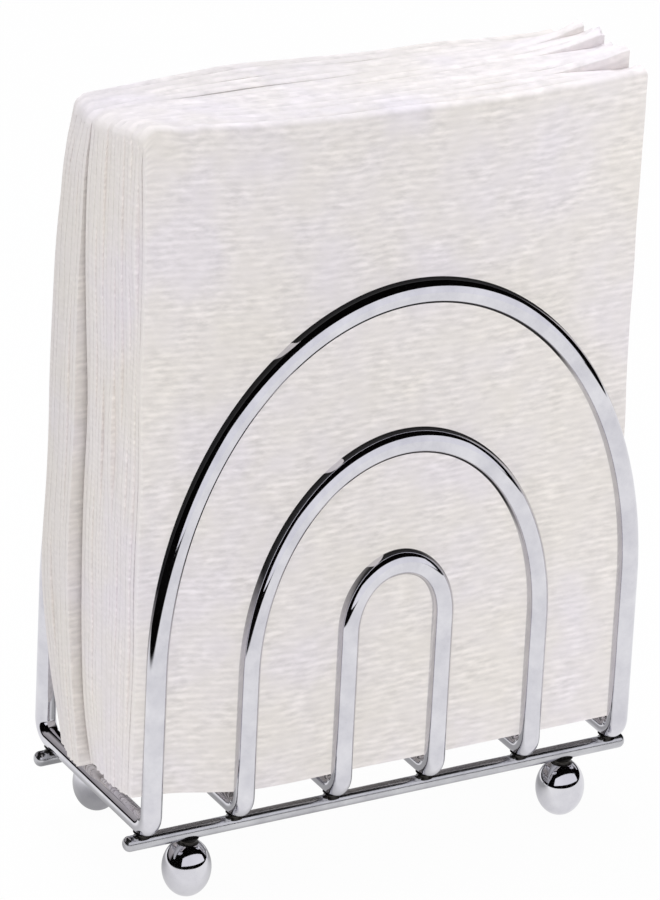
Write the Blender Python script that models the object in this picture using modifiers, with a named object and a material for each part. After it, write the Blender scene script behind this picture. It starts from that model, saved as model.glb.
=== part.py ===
"""A chromed wire napkin holder with its stack of folded paper napkins.

The holder is three nested loops of round wire, each one closed wire: it rises in front as an arch, bends
back under the napkins as two floor runs, and rises again behind as a second arch. The floor runs of all
three loops are welded across two round bars, and an egg-shaped ball foot stands under each end of each
bar. The napkins stand on the floor runs between the arches in two groups, folded edges to the left and
past the ends of the bars, and lift out.

Frame: metres, +Z up, X along the bars, +Y from the front arches to the rear ones. The origin is on the
table, under the middle of the holder and its napkins together.
"""

import math
from dataclasses import dataclass

import bpy

MM = 0.001

# Clearances
SEAT_GAP = 0.3 * MM  # between two pieces that touch
NAPKIN_GAP = 0.35 * MM  # between neighbouring napkins
BEND_CLEARANCE = 0.2 * MM  # between a bend's inside and a napkin's bottom edge

# Wire loops
WIRE_DIAMETER = 6.4 * MM
HALF_DEPTH = 35.2 * MM  # from the middle of the holder to the legs' centre lines
BEND_RADIUS = 5.5 * MM  # of the centre line, where a leg turns into a floor run
OUTER_HALF_WIDTH = 80.0 * MM
OUTER_LEG_HEIGHT = 53.0 * MM
OUTER_RISE = 108.5 * MM
MIDDLE_HALF_WIDTH = 49.0 * MM
MIDDLE_LEG_HEIGHT = 46.0 * MM
MIDDLE_RISE = 67.5 * MM
INNER_HALF_WIDTH = 16.0 * MM
INNER_LEG_HEIGHT = 53.5 * MM
INNER_RISE = 20.5 * MM

# Cross bars
BAR_DIAMETER = 4.8 * MM
BAR_OVERHANG = 2.8 * MM  # past the outer loop's wire
BAR_END_ROUND = 1.9 * MM

# Ball feet
FOOT_WIDTH = 15.0 * MM
FOOT_HEIGHT = 18.2 * MM
FOOT_FLAT_RADIUS = 1.7 * MM  # of the weld land on top and of the seat at the bottom
FOOT_INSET = 21.5 * MM  # from a bar's end to the foot's axis

# Napkins
NAPKIN_WIDTH = 165.0 * MM
NAPKIN_HEIGHT = 216.0 * MM
NAPKIN_THICKNESS = 3.2 * MM
FRONT_GROUP = 9  # napkins in front of the gap in the stack
GROUP_GAP = 2.0 * MM  # more room between the two groups than between neighbours
FOLD_OVERHANG = 1.5 * MM  # of the front group's folded edges, past the left ends of the bars
REAR_GROUP_SHIFT = 3.0 * MM  # of the rear group, to the left of the front one
FREE_SLOT = 11.0 * MM  # the least room left behind the last napkin

# Facets
WIRE_BEVEL_RESOLUTION = 4
ARCH_STEPS = 36
BEND_STEPS = 6
FOOT_RINGS = 12
FOOT_SEGMENTS = 26
BAR_SIDES = 20
FOLD_STEPS = 6

# Worked out from the sizes above
WIRE_RADIUS = WIRE_DIAMETER / 2
BAR_RADIUS = BAR_DIAMETER / 2
BAR_Z = FOOT_HEIGHT + SEAT_GAP + BAR_RADIUS
BAR_Y = HALF_DEPTH - BEND_RADIUS
FLOOR_RUN_Z = BAR_Z + BAR_RADIUS + SEAT_GAP + WIRE_RADIUS
NAPKIN_Z = FLOOR_RUN_Z + WIRE_RADIUS + SEAT_GAP


@dataclass(frozen=True)
class LoopSize:
    """The centre line of one loop's arch: two straight legs under half an ellipse."""

    name: str
    half_width: float
    leg_height: float
    rise: float


OUTER_LOOP = LoopSize("outer_arch_loop", OUTER_HALF_WIDTH, OUTER_LEG_HEIGHT, OUTER_RISE)
MIDDLE_LOOP = LoopSize("middle_arch_loop", MIDDLE_HALF_WIDTH, MIDDLE_LEG_HEIGHT, MIDDLE_RISE)
INNER_LOOP = LoopSize("inner_arch_loop", INNER_HALF_WIDTH, INNER_LEG_HEIGHT, INNER_RISE)

BAR_HALF_LENGTH = OUTER_LOOP.half_width + WIRE_RADIUS + BAR_OVERHANG
HOLDER_X = (FOLD_OVERHANG + REAR_GROUP_SHIFT) / 2  # centres the holder and its napkins on the origin


def clear_scene():
    for obj in list(bpy.data.objects):
        bpy.data.objects.remove(obj, do_unlink=True)


def new_collection(name):
    collection = bpy.data.collections.new(name)
    bpy.context.scene.collection.children.link(collection)
    return collection


def new_material(name, color, metallic, roughness):
    material = bpy.data.materials.new(name)
    material.use_nodes = True
    shader = material.node_tree.nodes["Principled BSDF"]
    shader.inputs["Base Color"].default_value = (*color, 1.0)
    shader.inputs["Metallic"].default_value = metallic
    shader.inputs["Roughness"].default_value = roughness
    return material


def add_object(collection, name, data, parent, location):
    obj = bpy.data.objects.new(name, data)
    collection.objects.link(obj)
    obj.parent = parent
    obj.location = location
    return obj


def poly_spline(curve, points):
    """Adds a closed spline of straight segments through the points to a curve."""
    spline = curve.splines.new("POLY")
    spline.points.add(len(points) - 1)
    for point, place in zip(spline.points, points):
        point.co = (*place, 1.0)
    spline.use_cyclic_u = True
    return spline


def shade_smooth_by_angle(mesh, degrees=35):
    mesh.shade_smooth()
    mesh.set_sharp_from_angle(angle=math.radians(degrees))


def bend_profile():
    """(inward, up) of a quarter turn from the foot of a leg to the start of its floor run."""
    turns = [math.radians(90) * step / BEND_STEPS for step in range(BEND_STEPS + 1)]
    return [(BEND_RADIUS * (1 - math.cos(turn)), BEND_RADIUS * (1 - math.sin(turn))) for turn in turns]


def arch_profile(loop):
    """(across, up) of the half ellipse from its left spring point to its right one."""
    turns = [math.pi * step / ARCH_STEPS for step in range(ARCH_STEPS + 1)]
    return [
        (-loop.half_width * math.cos(turn), loop.leg_height + loop.rise * math.sin(turn)) for turn in turns
    ]


def half_loop(loop, side):
    """One arch with its two bends, from floor run to floor run: side is -1 in front and +1 behind."""
    bend = bend_profile()
    rising = [(-loop.half_width, inward, up) for inward, up in reversed(bend)]
    over = [(across, 0.0, up) for across, up in arch_profile(loop)]
    falling = [(loop.half_width, inward, up) for inward, up in bend]
    return [
        (-side * across, side * (HALF_DEPTH - inward), up) for across, inward, up in rising + over + falling
    ]


def make_loop(collection, holder, loop, chrome):
    curve = bpy.data.curves.new(loop.name, "CURVE")
    curve.dimensions = "3D"
    curve.bevel_depth = WIRE_RADIUS
    curve.bevel_resolution = WIRE_BEVEL_RESOLUTION
    spline = poly_spline(curve, half_loop(loop, -1) + half_loop(loop, 1))
    spline.use_smooth = True
    curve.materials.append(chrome)
    add_object(collection, loop.name, curve, holder, (0, 0, FLOOR_RUN_Z))


def make_bar(collection, holder, name, side, chrome):
    """A round bar under the floor runs, just inside their bends, with rounded ends."""
    bpy.ops.mesh.primitive_cylinder_add(vertices=BAR_SIDES, radius=BAR_RADIUS, depth=2 * BAR_HALF_LENGTH)
    bar = bpy.context.object
    for linked in list(bar.users_collection):
        linked.objects.unlink(bar)
    collection.objects.link(bar)
    bar.name = bar.data.name = name
    bar.parent = holder
    bar.rotation_euler = (0, math.radians(90), 0)
    bar.location = (0, side * BAR_Y, BAR_Z)
    bar.data.materials.append(chrome)
    shade_smooth_by_angle(bar.data)
    rounding = bar.modifiers.new("Rounded ends", "BEVEL")
    rounding.width = min(BAR_END_ROUND, 0.9 * BAR_RADIUS)
    rounding.segments = 4
    rounding.limit_method = "ANGLE"
    rounding.angle_limit = math.radians(60)


def foot_profile():
    """(radius, height) down the outside of a foot, from its weld land to its seat, both ends on the axis."""
    first = math.asin(FOOT_FLAT_RADIUS / (FOOT_WIDTH / 2))
    turns = [first + (math.pi - 2 * first) * step / FOOT_RINGS for step in range(FOOT_RINGS + 1)]
    half_height = FOOT_HEIGHT / 2
    side = [
        (FOOT_WIDTH / 2 * math.sin(turn), half_height * (1 + math.cos(turn) / math.cos(first)))
        for turn in turns
    ]
    return [(0.0, FOOT_HEIGHT), *side, (0.0, 0.0)]


def foot_mesh(chrome):
    profile = foot_profile()
    mesh = bpy.data.meshes.new("foot_profile")
    edges = [(index, index + 1) for index in range(len(profile) - 1)]
    mesh.from_pydata([(radius, 0.0, height) for radius, height in profile], edges, [])
    mesh.materials.append(chrome)
    return mesh


def make_foot(collection, holder, mesh, name, across, side):
    foot = add_object(
        collection, name, mesh, holder, (across * (BAR_HALF_LENGTH - FOOT_INSET), side * BAR_Y, 0)
    )
    turning = foot.modifiers.new("Turned ball", "SCREW")
    turning.steps = turning.render_steps = FOOT_SEGMENTS
    turning.use_merge_vertices = True
    turning.merge_threshold = 0.01 * MM
    turning.use_smooth_shade = True


def napkin_outline():
    """(x, y) round a napkin seen from above: its folded edge, on the left, is round."""
    round_off = NAPKIN_THICKNESS / 2
    left = round_off - NAPKIN_WIDTH / 2
    turns = [math.radians(90) + math.pi * step / FOLD_STEPS for step in range(FOLD_STEPS + 1)]
    fold = [(left + round_off * math.cos(turn), round_off * math.sin(turn)) for turn in turns]
    return [*fold, (NAPKIN_WIDTH / 2, -round_off), (NAPKIN_WIDTH / 2, round_off)]


def napkin_curve(paper):
    curve = bpy.data.curves.new("folded_napkin", "CURVE")
    curve.dimensions = "2D"
    curve.fill_mode = "BOTH"
    curve.extrude = NAPKIN_HEIGHT / 2
    poly_spline(curve, [(x, y, 0.0) for x, y in napkin_outline()])
    curve.materials.append(paper)
    return curve


def bend_intrusion():
    """How far the inside of a bend reaches past the legs, level with the napkins' bottom edges."""
    inside_radius = BEND_RADIUS - WIRE_RADIUS
    return inside_radius - math.sqrt(inside_radius**2 - (inside_radius - SEAT_GAP) ** 2)


def napkin_places():
    """(x, y) of each napkin's middle, from the front arches back, for as many as the slot takes."""
    pitch = NAPKIN_THICKNESS + NAPKIN_GAP
    slot = HALF_DEPTH - WIRE_RADIUS
    front = -slot + bend_intrusion() + BEND_CLEARANCE
    back = slot - FREE_SLOT - GROUP_GAP
    count = int((back - front + NAPKIN_GAP) / pitch)
    x = NAPKIN_WIDTH / 2 - BAR_HALF_LENGTH - FOLD_OVERHANG
    y = front + NAPKIN_THICKNESS / 2
    in_front = [(x, y + index * pitch) for index in range(min(count, FRONT_GROUP))]
    behind = [
        (x - REAR_GROUP_SHIFT, y + index * pitch + GROUP_GAP) for index in range(FRONT_GROUP, count)
    ]
    return in_front + behind


def make_napkins(collection, stack, paper):
    curve = napkin_curve(paper)
    for number, (x, y) in enumerate(napkin_places(), start=1):
        place = (x, y, NAPKIN_Z + NAPKIN_HEIGHT / 2)
        add_object(collection, f"napkin_{number:02d}", curve, stack, place)


def main():
    clear_scene()
    collection = new_collection("Napkin dispenser")
    chrome = new_material("Chrome", (0.80, 0.80, 0.82), metallic=1.0, roughness=0.06)
    paper = new_material("Napkin paper", (0.86, 0.86, 0.85), metallic=0.0, roughness=0.9)
    holder = add_object(collection, "holder_frame", None, None, (HOLDER_X, 0, 0))
    stack = add_object(collection, "napkin_stack", None, holder, (0, 0, 0))

    for loop in (OUTER_LOOP, MIDDLE_LOOP, INNER_LOOP):
        make_loop(collection, holder, loop, chrome)
    feet = foot_mesh(chrome)
    for end, side in (("front", -1), ("rear", 1)):
        make_bar(collection, holder, f"{end}_cross_bar", side, chrome)
        for hand, across in (("left", -1), ("right", 1)):
            make_foot(collection, holder, feet, f"foot_{end}_{hand}", across, side)
    make_napkins(collection, stack, paper)


if __name__ == "__main__":
    main()
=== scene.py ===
"""Visual model of a chromed wire napkin holder with its stack of folded paper napkins.

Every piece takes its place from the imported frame: metres, +Z up, +X along the cross bars, +Y from the front
arches to the rear ones. The holder's wire, bars, feet and welds are smooth swept and turned surfaces, and
each napkin is one sheet of paper folded twice.
"""

import logging
import math
from dataclasses import dataclass
from enum import Enum

import bpy
import numpy as np
from mathutils import Matrix, Vector


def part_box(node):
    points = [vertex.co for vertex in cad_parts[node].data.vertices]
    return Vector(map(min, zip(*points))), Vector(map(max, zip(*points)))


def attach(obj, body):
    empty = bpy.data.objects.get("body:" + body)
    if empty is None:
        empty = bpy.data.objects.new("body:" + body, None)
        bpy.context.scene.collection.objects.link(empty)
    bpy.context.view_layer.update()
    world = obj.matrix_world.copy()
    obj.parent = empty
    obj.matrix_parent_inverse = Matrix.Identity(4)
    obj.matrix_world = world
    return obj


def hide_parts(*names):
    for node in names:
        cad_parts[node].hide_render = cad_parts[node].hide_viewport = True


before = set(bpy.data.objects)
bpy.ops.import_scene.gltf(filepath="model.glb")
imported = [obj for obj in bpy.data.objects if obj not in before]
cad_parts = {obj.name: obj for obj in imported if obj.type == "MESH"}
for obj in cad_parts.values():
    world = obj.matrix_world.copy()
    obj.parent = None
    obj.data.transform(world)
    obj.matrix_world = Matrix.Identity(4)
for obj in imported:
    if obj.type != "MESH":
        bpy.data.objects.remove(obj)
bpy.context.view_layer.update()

LOG = logging.getLogger("napkin_holder")
MM = 0.001
HOLDER = "holder"
Array = np.ndarray


class Slot(Enum):
    """The record's material slots."""

    CHROME = "chrome"
    PAPER = "paper"


class Along(Enum):
    """The axis that a turned surface turns about."""

    X = 0
    Z = 2


# ---------------------------------------------------------------- meshes


def grid_quads(rows: int, columns: int, wrap_rows: bool = False, wrap_columns: bool = False) -> Array:
    """Quads of a grid whose point (row, column) has the index row * columns + column.

    Args:
        rows: number of rows of points.
        columns: number of points in a row.
        wrap_rows: joins the last row to the first.
        wrap_columns: joins the end of each row to its start.

    Returns:
        The quads' corner indices, one quad a line.
    """
    row = np.arange(rows if wrap_rows else rows - 1)[:, None]
    column = np.arange(columns if wrap_columns else columns - 1)[None, :]
    below, beside = (row + 1) % rows, (column + 1) % columns
    corners = [row * columns + column, row * columns + beside, below * columns + beside, below * columns + column]
    return np.stack([np.broadcast_to(corner, (row.size, column.size)).ravel() for corner in corners], axis=1)


def add_piece(
    name: str, points: Array, faces: list[Array], uv: Array | None = None, sharp_degrees: float = 40.0
) -> bpy.types.Object:
    """Makes a smooth mesh object at the origin from whole arrays.

    Args:
        name: the object's name.
        points: the points, one a line, in metres.
        faces: arrays of corner indices, each of faces with one number of corners.
        uv: the points' own map coordinates, one pair a line.
        sharp_degrees: an edge that turns by more than this stays sharp.

    Returns:
        The new object.
    """
    mesh = bpy.data.meshes.new(name)
    corners = np.concatenate([block.ravel() for block in faces]).astype(np.int32)
    sizes = np.concatenate([np.full(len(block), block.shape[1]) for block in faces])
    starts = np.concatenate([[0], np.cumsum(sizes)[:-1]]).astype(np.int32)
    mesh.vertices.add(len(points))
    mesh.vertices.foreach_set("co", points.astype(np.float32).ravel())
    mesh.loops.add(len(corners))
    mesh.loops.foreach_set("vertex_index", corners)
    mesh.polygons.add(len(starts))
    mesh.polygons.foreach_set("loop_start", starts)
    if uv is not None:
        layer = mesh.uv_layers.new(name="sheet")
        layer.data.foreach_set("uv", uv[corners].astype(np.float32).ravel())
    mesh.update(calc_edges=True)
    mesh.shade_smooth()
    mesh.set_sharp_from_angle(angle=math.radians(sharp_degrees))
    piece = bpy.data.objects.new(name, mesh)
    bpy.context.scene.collection.objects.link(piece)
    return piece


def turned_piece(name: str, axis: Along, middle: Vector, profile: Array, sides: int = 72) -> bpy.types.Object:
    """Turns a profile about an axis through a point and closes both ends at the axis.

    The point at turn a and profile step i lies radius(i) from the axis, at cos a and sin a across it, and
    along(i) down the axis from the middle.

    Args:
        name: the object's name.
        axis: the axis that the profile turns about.
        middle: the point on the axis that the profile is measured from.
        profile: (radius, along) in metres, from the low end to the high end, neither of them on the axis.
        sides: the number of steps round the axis.

    Returns:
        The new object.
    """
    turn = np.linspace(0, 2 * np.pi, sides, endpoint=False)
    radius, along = profile[:, 0][:, None], profile[:, 1][:, None]
    first = radius * np.cos(turn)
    second = radius * np.sin(turn)
    level = np.broadcast_to(along, first.shape)
    parts = [first, second, level] if axis is Along.Z else [level, first, second]
    ring = np.stack(parts, axis=2).reshape(-1, 3)
    poles = np.zeros((2, 3))
    poles[:, axis.value] = along[0, 0], along[-1, 0]
    points = np.concatenate([ring, poles]) + np.array(middle)
    rows = len(profile)
    step = np.arange(sides)
    after = (step + 1) % sides
    low = np.stack([np.full(sides, rows * sides), after, step], axis=1)
    last = (rows - 1) * sides
    high = np.stack([np.full(sides, rows * sides + 1), last + step, last + after], axis=1)
    return add_piece(name, points, [grid_quads(rows, sides, wrap_columns=True), low, high], sharp_degrees=60.0)


def swept_wire(
    name: str, path: Array, across: Array, radius: float, deeper: Array, sides: int = 40
) -> bpy.types.Object:
    """Carries a circle along a closed path, stretched upright where the wire is deeper than it is wide.

    The point at path step i and turn a is path(i) plus radius times (cos a times across(i) plus sin a times
    the cross product of the path's direction and across(i)), with its upright part times deeper(i).

    Args:
        name: the object's name.
        path: the centre line's points, one a line, in order round the loop.
        across: a unit vector square to the path at each of its points.
        radius: the wire's radius.
        deeper: the section's upright stretch at each point of the path.
        sides: the number of steps round the wire.

    Returns:
        The new object.
    """
    along = np.roll(path, -1, axis=0) - np.roll(path, 1, axis=0)
    along /= np.linalg.norm(along, axis=1, keepdims=True)
    level = across - along * np.sum(across * along, axis=1, keepdims=True)
    level /= np.linalg.norm(level, axis=1, keepdims=True)
    side = np.cross(along, level)
    turn = np.linspace(0, 2 * np.pi, sides, endpoint=False)[None, :, None]
    section = radius * (np.cos(turn) * level[:, None] + np.sin(turn) * side[:, None])
    section[:, :, 2] *= deeper[:, None]
    points = path[:, None] + section
    quads = grid_quads(len(path), sides, wrap_rows=True, wrap_columns=True)
    return add_piece(name, points.reshape(-1, 3), [quads])


def ramp(value: Array, start: float, end: float) -> Array:
    """A smooth step from 0 at start to 1 at end: three times the square less twice the cube."""
    step = np.clip((value - start) / (end - start), 0.0, 1.0)
    return step * step * (3.0 - 2.0 * step)


# ---------------------------------------------------------------- materials


def linear(hex_colour: str) -> tuple[float, float, float, float]:
    """The linear colour of an sRGB hex value such as F2EFEA, by the standard's piecewise curve per channel."""
    parts = [int(hex_colour[index : index + 2], 16) / 255 for index in (0, 2, 4)]
    red, green, blue = [part / 12.92 if part <= 0.04045 else ((part + 0.055) / 1.055) ** 2.4 for part in parts]
    return red, green, blue, 1.0


def add_node(
    tree: bpy.types.NodeTree, kind: str, settings: dict[str, str] | None = None,
    **sockets: bpy.types.NodeSocket | float | tuple[float, ...],
) -> bpy.types.Node:
    """Adds a node with its settings, values and links.

    Args:
        tree: the node tree.
        kind: the node's type name.
        settings: the node's properties by name.
        **sockets: values or output sockets for its inputs. Underscores stand for spaces, and in_N is input N.

    Returns:
        The new node.
    """
    node = tree.nodes.new(kind)
    for key, value in (settings or {}).items():
        setattr(node, key, value)
    for key, value in sockets.items():
        socket = node.inputs[int(key[3:]) if key.startswith("in_") else key.replace("_", " ")]
        if isinstance(value, bpy.types.NodeSocket):
            tree.links.new(value, socket)
        else:
            socket.default_value = value
    return node


def new_material(name: str) -> tuple[bpy.types.Material, bpy.types.NodeTree, bpy.types.Node]:
    """A material with its node tree and its Principled shader."""
    material = bpy.data.materials.new(name)
    material.use_nodes = True
    return material, material.node_tree, material.node_tree.nodes["Principled BSDF"]


def set_stops(node: bpy.types.Node, stops: list[tuple[float, str]]) -> None:
    """Gives a Color Ramp node its stops.

    Args:
        node: the Color Ramp node.
        stops: (place, hex colour) in order.
    """
    elements = node.color_ramp.elements
    while len(elements) < len(stops):
        elements.new(0.5)
    for element, (place, colour) in zip(elements, stops):
        element.position, element.color = place, linear(colour)


def first_mirror(tree: bpy.types.NodeTree) -> bpy.types.NodeSocket:
    """1 for what a mirror shows directly, and 0 for light that has met a matt surface on its way.

    Args:
        tree: a node tree.

    Returns:
        The flag.
    """
    rays = add_node(tree, "ShaderNodeLightPath").outputs
    fresh = add_node(
        tree, "ShaderNodeMath", {"operation": "LESS_THAN"}, in_0=rays["Diffuse Depth"], in_1=0.5
    ).outputs["Value"]
    return add_node(
        tree, "ShaderNodeMath", {"operation": "MULTIPLY"}, in_0=fresh, in_1=rays["Is Glossy Ray"]
    ).outputs["Value"]


@dataclass(frozen=True)
class ChromePlate:
    """Bright decorative chromium over polished steel wire.

    The plate is mirror-like and slightly blue. A faint haze from wiping and the fine marks of polishing
    leave its reflections sharp but not perfect.
    """

    name: str = "bright chrome plate on polished wire"
    clean: str = "E1E0E4"
    hazed: str = "CAC9D0"
    tint_span: tuple[float, float] = (0.3, 0.75)  # of the haze, from the clean colour to the hazed one
    least_rough: float = 0.03
    most_rough: float = 0.09
    rough_span: tuple[float, float] = (0.35, 0.8)  # of the haze, from the least rough to the most
    haze_size: float = 10.0 * MM  # wiped and fingered patches
    mark_size: float = 0.6 * MM  # real polishing marks are about 0.05 mm apart, too fine to show
    mark_depth: float = 0.004 * MM
    mark_strength: float = 0.25

    def make(self) -> bpy.types.Material:
        """Builds the material.

        Returns:
            The material.
        """
        material, tree, shader = new_material(self.name)
        place = add_node(tree, "ShaderNodeTexCoord").outputs["Object"]
        haze = add_node(
            tree, "ShaderNodeTexNoise", Vector=place, Scale=1 / self.haze_size, Detail=4.0, Roughness=0.6
        ).outputs["Fac"]
        tint = add_node(tree, "ShaderNodeValToRGB", Fac=haze)
        set_stops(tint, list(zip(self.tint_span, (self.clean, self.hazed))))
        rough = add_node(
            tree, "ShaderNodeMapRange", Value=haze, From_Min=self.rough_span[0], From_Max=self.rough_span[1],
            To_Min=self.least_rough, To_Max=self.most_rough,
        ).outputs["Result"]
        marks = add_node(
            tree, "ShaderNodeTexNoise", Vector=place, Scale=1 / self.mark_size, Detail=2.0, Roughness=0.5
        ).outputs["Fac"]
        bump = add_node(
            tree, "ShaderNodeBump", Strength=self.mark_strength, Distance=self.mark_depth, Height=marks
        ).outputs["Normal"]
        shader.inputs["Metallic"].default_value = 1.0
        tree.links.new(tint.outputs["Color"], shader.inputs["Base Color"])
        tree.links.new(rough, shader.inputs["Roughness"])
        tree.links.new(bump, shader.inputs["Normal"])
        return material


BRIGHT_WIRE = ChromePlate()
# Drawn bar is plated without a mirror polish, so its reflections are softer and greyer.
SATIN_BAR = ChromePlate(
    name="satin chrome plate on drawn bar", clean="CCCCCF", hazed="B4B4B8", least_rough=0.17, most_rough=0.25,
    haze_size=9.0 * MM, mark_depth=0.010 * MM,
)
# Weld metal isn't polished before it is plated, so it stays grainy and dull; its dark colour is partly the weld's and
# partly painted contact shade where the wires and balls meet the bars.
WELD_PLATE_AND_CONTACT_SHADE = ChromePlate(
    name="dark weld plate and painted contact shade", clean="4A4845", hazed="2A2826", least_rough=0.30, most_rough=0.50,
    haze_size=1.2 * MM, mark_depth=0.060 * MM,
)


class Fading(Enum):
    """How a change sets in along its way."""

    EVEN = "LINEAR"
    EASED = "SMOOTHSTEP"


@dataclass(frozen=True)
class PaintedLightFade:
    """A change of painted light or painted shade in the paper's colour, along one way through the stack."""

    heading: tuple[float, float, float]
    start: float  # how far along that way it sets in
    end: float
    gain: float  # the share of the colour that it has added by the end
    fading: Fading = Fading.EVEN


@dataclass(frozen=True)
class EmbossedTissue:
    """Bleached two-ply tissue, creped and embossed in fine rows across the sheet.

    It is matt and soft white. The crepe's emboss is a bump, and its colour also carries a painted highlight on
    the short raised dashes along the rows and painted shade in the pressed rows. Slight differences in its pulp
    give faint warm and violet clouds. Painted light makes it a little paler to the right, towards the loose
    edges, and low down, and painted shade makes it duller in the rear group. What the wires mirror of it
    directly is a painted reflection with its own brightness.
    """

    name: str = "bleached embossed tissue"
    warm: str = "EBE6E2"
    plain: str = "EBE6E5"
    cool: str = "EAE5E9"
    cloud_stops: tuple[float, float, float] = (0.38, 0.52, 0.66)  # of the clouds: warm, plain and cool
    cloud_size: float = 38.0 * MM
    roughness: float = 0.92
    specular: float = 0.12
    sheen: float = 0.04
    sheen_roughness: float = 0.6

    row_pitch: float = 2.05 * MM  # between embossed rows
    row_share: float = 0.17  # how much the even rows add to the dashes
    dash_length: float = 5.5 * MM
    emboss_depth: float = 0.16 * MM
    wander: float = 0.6 * MM  # how far a row strays up and down
    wander_size: float = 18.0 * MM  # and over what length
    fibre_size: float = 0.7 * MM
    fibre_share: float = 0.30  # how much the fibres add to the emboss
    fold_span: tuple[float, float] = (-0.85, -0.45)  # of the normal's sideways part, from a fold to a leaf
    fold_relief: float = 0.3  # how much of the emboss is left where the sheet is pulled round a fold

    patch_size: float = 11.0 * MM  # patches where the emboss's painted shading is stronger or weaker
    patch_span: tuple[float, float] = (0.35, 0.65)  # of the patches, from the weakest to the strongest
    patch_strength: tuple[float, float] = (0.35, 1.25)
    lit_span: tuple[float, float] = (0.40, 0.80)  # of the emboss, from a pressed row to a raised dash
    lit_gain: tuple[float, float] = (-0.10, 0.12)  # how much painted shade takes from the colour and how much painted highlight adds
    lit_middle: float = 0.985

    painted_light_base: float = 0.99  # of the colour, at the folds, before any painted light or shade
    painted_light_fades: tuple[PaintedLightFade, ...] = (
        # Painted light: paler rightwards, towards the loose edges.
        PaintedLightFade(heading=(1.0, 0.0, 0.0), start=-30.0 * MM, end=75.0 * MM, gain=0.065, fading=Fading.EASED),
        # Painted light: paler downwards, low on the sheets.
        PaintedLightFade(heading=(0.0, 0.0, 1.0), start=115.0 * MM, end=50.0 * MM, gain=0.022),
        # Painted light: paler towards the loose top corner.
        PaintedLightFade(heading=(0.6, 0.0, 0.8), start=198.0 * MM, end=236.0 * MM, gain=0.04),
        # Painted shade: duller backwards, into the rear group.
        PaintedLightFade(heading=(0.0, 1.0, 0.0), start=-8.0 * MM, end=14.0 * MM, gain=-0.065),
    )

    painted_reflection_low: float = 0.85  # painted reflection: how bright the wires' legs show the paper beside them
    painted_reflection_high: float = 0.02  # and the same for the arches, a painted dark reflection
    springing: tuple[float, float] = (82.0 * MM, 106.0 * MM)  # between the two, on the left
    right_side: tuple[float, float] = (36.0 * MM, 68.0 * MM)
    right_rise: float = 90.0 * MM  # how much higher it lies on the right
    glint_way: tuple[float, float, float] = (0.905, 0.0, 0.426)  # square to the slim painted glint on the arches' shoulders
    glint_place: float = 39.0 * MM  # how far along that way it lies
    glint_reach: float = 3.4 * MM
    painted_shade_beneath: float = 0.3  # painted shade: how much of all that is left under the stack, right of the folds
    underside: tuple[float, float] = (-0.3, -0.6)  # of the normal's upright part, from a leaf to an underside
    beneath_edge: tuple[float, float] = (-76.0 * MM, -72.0 * MM)  # across, from the folds to the underside

    def emboss(self, tree: bpy.types.NodeTree, sheet: bpy.types.NodeSocket) -> bpy.types.NodeSocket:
        """The height of the emboss over the flat sheet, about 0 to 1.

        It is noise drawn out into dashes along the rows, on rows that wander, plus weak even waves.

        Args:
            tree: the material's node tree.
            sheet: metres across and down the flat sheet.

        Returns:
            The height.
        """
        drift = add_node(
            tree, "ShaderNodeTexNoise", Vector=sheet, Scale=1 / self.wander_size, Detail=1.0
        ).outputs["Color"]
        bent = add_node(
            tree, "ShaderNodeVectorMath", {"operation": "MULTIPLY_ADD"}, in_0=drift, in_1=(0.0, self.wander * 2, 0.0),
            in_2=sheet,
        ).outputs["Vector"]
        rows = add_node(
            tree, "ShaderNodeMapping", Vector=bent, Scale=(1 / self.dash_length, 1 / self.row_pitch, 1.0)
        ).outputs["Vector"]
        dashes = add_node(
            tree, "ShaderNodeTexNoise", Vector=rows, Scale=1.0, Detail=3.0, Roughness=0.55
        ).outputs["Fac"]
        # The wave texture repeats 20 / tau times in a unit.
        waves = add_node(
            tree, "ShaderNodeTexWave", {"bands_direction": "Y"}, Vector=bent,
            Scale=math.tau / 20 / self.row_pitch, Distortion=1.2, Detail=2.0, Detail_Scale=1.6,
        ).outputs["Fac"]
        return add_node(
            tree, "ShaderNodeMath", {"operation": "MULTIPLY_ADD"}, in_0=waves, in_1=self.row_share, in_2=dashes
        ).outputs["Value"]

    def dashes(
        self, tree: bpy.types.NodeTree, sheet: bpy.types.NodeSocket, height: bpy.types.NodeSocket,
        relief: bpy.types.NodeSocket,
    ) -> bpy.types.NodeSocket:
        """The emboss's painted shading: a painted highlight on the raised dashes, and painted shade that makes the
        pressed rows a little greyer.

        Args:
            tree: the material's node tree.
            sheet: metres across and down the flat sheet.
            height: the emboss.
            relief: how much of it is left.

        Returns:
            A share of the colour.
        """
        patch = add_node(
            tree, "ShaderNodeTexNoise", Vector=sheet, Scale=1 / self.patch_size, Detail=2.0
        ).outputs["Fac"]
        strength = add_node(
            tree, "ShaderNodeMapRange", Value=patch, From_Min=self.patch_span[0], From_Max=self.patch_span[1],
            To_Min=self.patch_strength[0], To_Max=self.patch_strength[1],
        ).outputs["Result"]
        strength = add_node(
            tree, "ShaderNodeMath", {"operation": "MULTIPLY"}, in_0=strength, in_1=relief
        ).outputs["Value"]
        lit = add_node(
            tree, "ShaderNodeMapRange", Value=height, From_Min=self.lit_span[0], From_Max=self.lit_span[1],
            To_Min=self.lit_gain[0], To_Max=self.lit_gain[1],
        ).outputs["Result"]
        return add_node(
            tree, "ShaderNodeMath", {"operation": "MULTIPLY_ADD"}, in_0=lit, in_1=strength, in_2=self.lit_middle
        ).outputs["Value"]

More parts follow.
